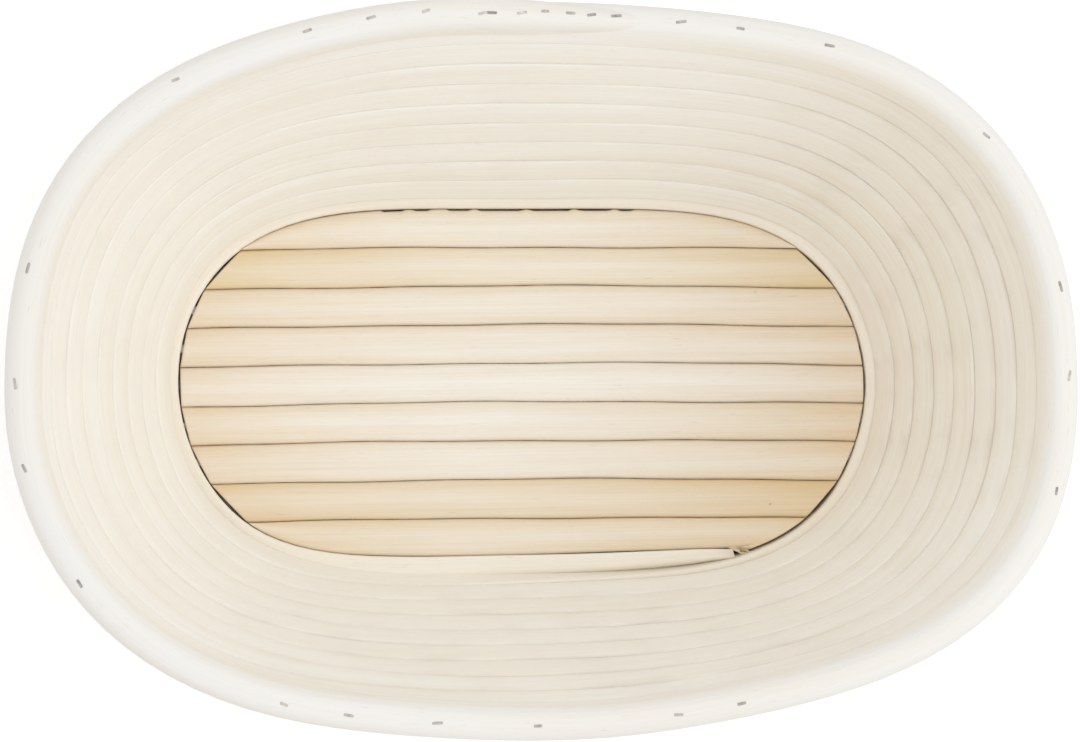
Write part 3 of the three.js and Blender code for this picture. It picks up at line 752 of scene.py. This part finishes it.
crest_line = coil[:, SECTION_POINTS // 2]
inward = coil[:, SECTION_POINTS // 2 - 1] - crest_line
inward /= np.linalg.norm(inward, axis=-1, keepdims=True)
for name in sorted(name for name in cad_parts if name.startswith("rim_brad_")):
    turn = nearest_turn(name, COIL_TURNS - 1, COIL_TURNS)
    turn += BRAD_SLIPS.get(name, 0) / 1000 / np.interp(turn, turns, np.gradient(line_lengths, turns))
    inset = BRAD_INSETS.get(name, 0) / 1000
    brad_line = crest_line + inset * inward
    side = coil_plan(np.array([turn]))[1][0]
    angle = crest_angle(side) - inset / CANE_HALF_HEIGHT
    axis = np.array([*(side * np.sin(angle)), np.cos(angle)])
    cane = on_line(turn + CANE_STEP, brad_line) - on_line(turn - CANE_STEP, brad_line)
    new_brad(name, brad_points(on_line(turn, brad_line) + axis * BRAD_PROUD, axis, cane, RIM_BRAD_LENGTH))
for name in sorted(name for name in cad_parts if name.startswith("slat_brad_")):
    turn = nearest_turn(name, 0.0, 1.0)
    side = coil_plan(np.array([turn]))[1][0]
    low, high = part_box(name)
    height = (low.z + high.z) / 2
    raised = (height - FIRST_MIDDLE) / CANE_HALF_HEIGHT
    reach = CANE_HALF_THICKNESS * (1 - raised ** OUTSIDE_SHARPNESS) ** (1 / OUTSIDE_SHARPNESS)
    top = np.array([*(on_line(turn, middle)[:2] + reach * side), height])
    along = np.array([-side[1], side[0], 0.0])
    new_brad(name, brad_points(top, np.array([*side, 0.0]), along, FLOOR_BRAD_LENGTH))


# Table: a plain white surface under the basket, which keeps the basket's shadow.
# The camera sees it lighter than it lights the basket, so that it is white in the open.
TABLE_HALF = 3.0
TABLE_WHITE = (0.85, 0.85, 0.85, 1.0)
TABLE_SEEN = (1.15, 1.15, 1.15, 1.0)


def seen_ray(tree):
    """1 where the background is looked at, straight or in a reflection, and 0 where it only gives light."""
    path = add_node(tree, "ShaderNodeLightPath", {})
    seen = combine(tree, "MAXIMUM", path.outputs["Is Camera Ray"], path.outputs["Is Glossy Ray"])
    return combine(tree, "MAXIMUM", seen, path.outputs["Is Transmission Ray"])


table_white = new_material("table_white")
table_tree = table_white.node_tree
table_tree.nodes.remove(table_tree.nodes["Principled BSDF"])
table_colour = tint(table_tree, seen_ray(table_tree), TABLE_WHITE, TABLE_SEEN)
table_shader = add_node(table_tree, "ShaderNodeBsdfDiffuse", {"Color": table_colour})
table_tree.links.new(table_shader.outputs[0], table_tree.nodes["Material Output"].inputs["Surface"])
table_mesh = bpy.data.meshes.new("table")
table_corners = [(-TABLE_HALF, -TABLE_HALF, 0), (TABLE_HALF, -TABLE_HALF, 0),
                 (TABLE_HALF, TABLE_HALF, 0), (-TABLE_HALF, TABLE_HALF, 0)]
table_mesh.from_pydata(table_corners, [], [(0, 1, 2, 3)])
table_mesh.materials.append(table_white)
table = bpy.data.objects.new("table", table_mesh)
bpy.context.scene.collection.objects.link(table)


# Light: a white studio all round, a broad soft lamp overhead and a weaker one from the right of the picture.
# The studio is seen at full white, and it lights the basket a little less.
STUDIO_WHITE = (1.0, 1.0, 1.0, 1.0)
SURROUND_LEVEL = 0.87
# Each lamp's place, width in metres and power in watts. Both look at the middle of the basket's foot.
LAMPS = (("overhead_lamp", (0.1, 0.0, 1.7), 1.5, 4.5), ("side_lamp", (1.2, -0.35, 0.9), 0.9, 3.0))

surround = bpy.data.worlds.new("studio")
surround.use_nodes = True
bpy.context.scene.world = surround
studio_tree = surround.node_tree
studio_light = studio_tree.nodes["Background"]
studio_light.inputs["Color"].default_value = STUDIO_WHITE
studio_light.inputs["Strength"].default_value = SURROUND_LEVEL
studio_white = add_node(studio_tree, "ShaderNodeBackground", {"Color": STUDIO_WHITE, "Strength": 1.0})
studio_mix = add_node(studio_tree, "ShaderNodeMixShader", {
    0: seen_ray(studio_tree), 1: studio_light.outputs[0], 2: studio_white.outputs[0],
})
studio_tree.links.new(studio_mix.outputs[0], studio_tree.nodes["World Output"].inputs["Surface"])

for name, place, size, power in LAMPS:
    lamp_data = bpy.data.lights.new(name, "AREA")
    lamp_data.shape = "DISK"
    lamp_data.size = size
    lamp_data.energy = power
    lamp = bpy.data.objects.new(name, lamp_data)
    bpy.context.scene.collection.objects.link(lamp)
    lamp.location = place
    tilt = np.arctan2(np.hypot(place[0], place[1]), place[2])
    lamp.rotation_euler = (tilt, 0, np.arctan2(place[0], -place[1]))


# Camera: almost straight above the basket, a little to its lower left, with a long lens.
# Its place, turn and focal length were fitted to the rim, the floor and the turns in the photo.
CAMERA_PLACE = (-0.0892, -0.0635, 1.0)
CAMERA_TURN = np.radians((3.95, -5.30, -1.07))
FOCAL_PIXELS = 4649
PICTURE_WIDTH = 1080
SENSOR_WIDTH = 36.0

camera_data = bpy.data.cameras.new("camera")
camera_data.sensor_fit = "HORIZONTAL"
camera_data.sensor_width = SENSOR_WIDTH
camera_data.lens = FOCAL_PIXELS * SENSOR_WIDTH / PICTURE_WIDTH
camera = bpy.data.objects.new("camera", camera_data)
bpy.context.scene.collection.objects.link(camera)
camera.location = CAMERA_PLACE
camera.rotation_euler = CAMERA_TURN
bpy.context.scene.camera = camera
bpy.context.scene.view_settings.view_transform = "Standard"
